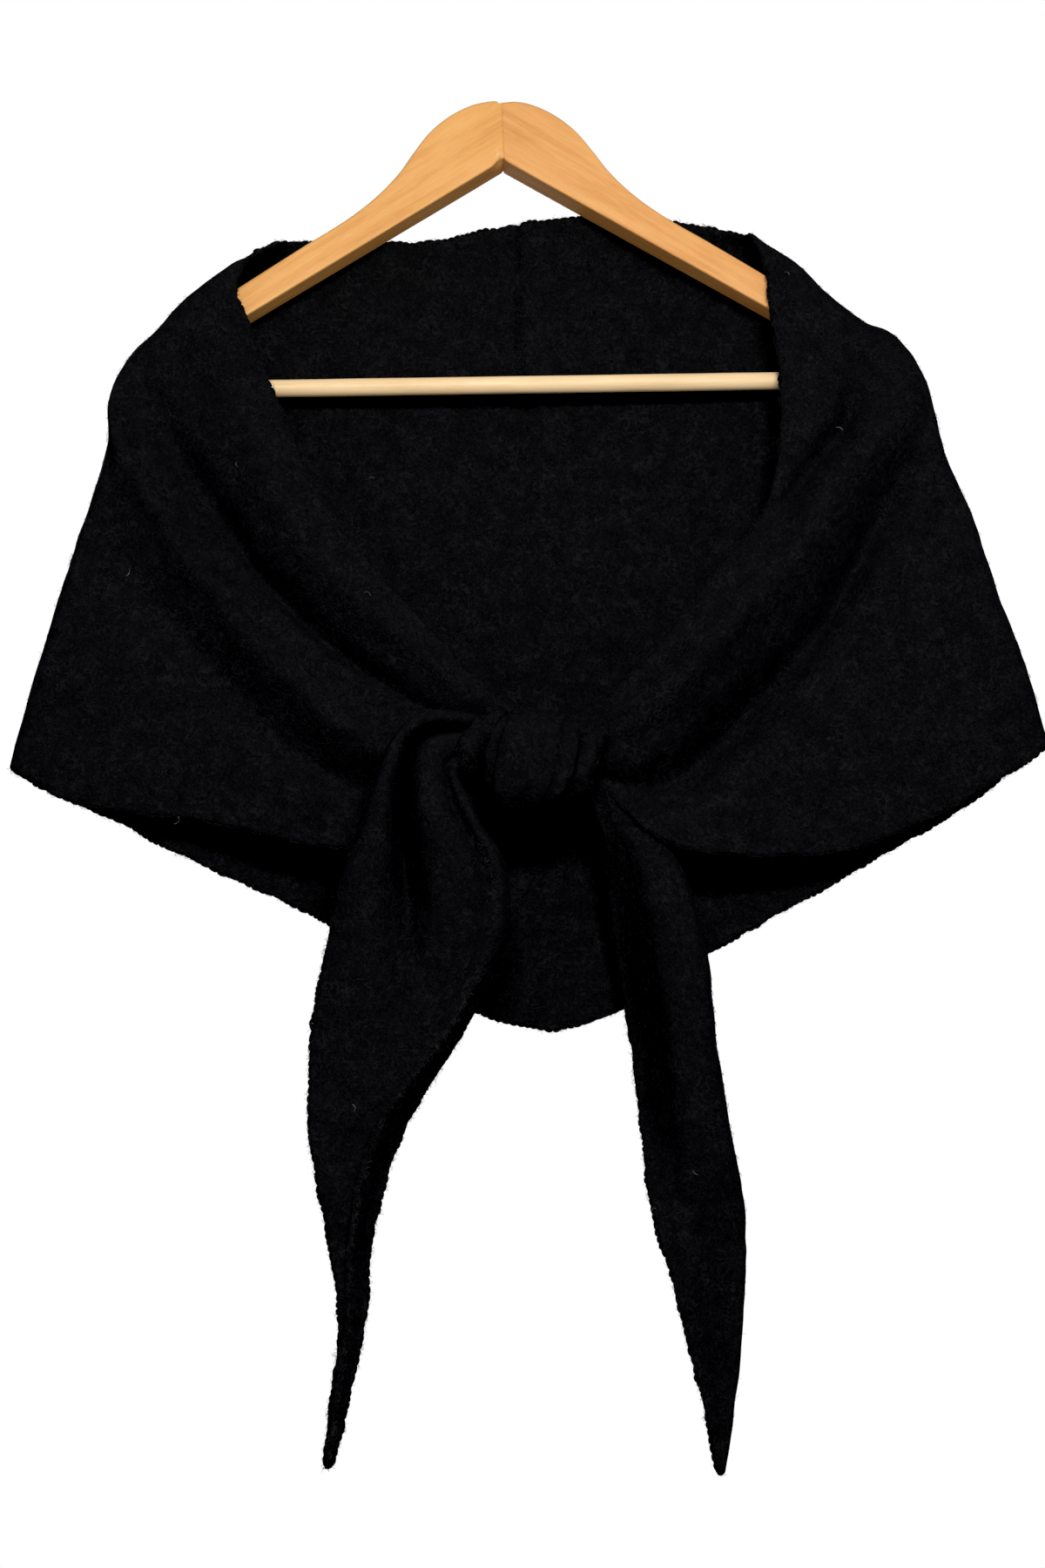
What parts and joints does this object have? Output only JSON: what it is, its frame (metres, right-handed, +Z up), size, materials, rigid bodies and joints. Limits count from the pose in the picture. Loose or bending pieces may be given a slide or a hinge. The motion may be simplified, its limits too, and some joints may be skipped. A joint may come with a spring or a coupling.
{
  "type": "triangle scarf on a wooden hanger",
  "caption": "Brushed-knit triangle scarf, half-knotted in front with two hanging ends, draped over a wooden clothes hanger with a round bar.",
  "frame": {"origin": "top of the hanger, on the mitre joint of its two arms", "axes": "+X to the viewer's right along the hanger, the front with the knot faces -Y, +Z up"},
  "size_m": [0.5766, 0.084, 0.7793],
  "materials": {
    "black_knit": "matte brushed knit with a short fuzzy pile",
    "hanger_wood": "satin varnished honey-coloured wood",
    "bar_wood": "satin pale wood with lengthwise grain"
  },
  "bodies": {
    "root": {"back_panel": "black_knit", "front_left": "black_knit", "front_right": "black_knit", "knot_wrap": "black_knit", "knot_strand": "black_knit", "knot_band": "black_knit", "tail_left": "black_knit", "tail_right": "black_knit", "hanger_arm_left": "hanger_wood", "hanger_arm_right": "hanger_wood", "hanger_bar": "bar_wood"}
  },
  "joints": []
}
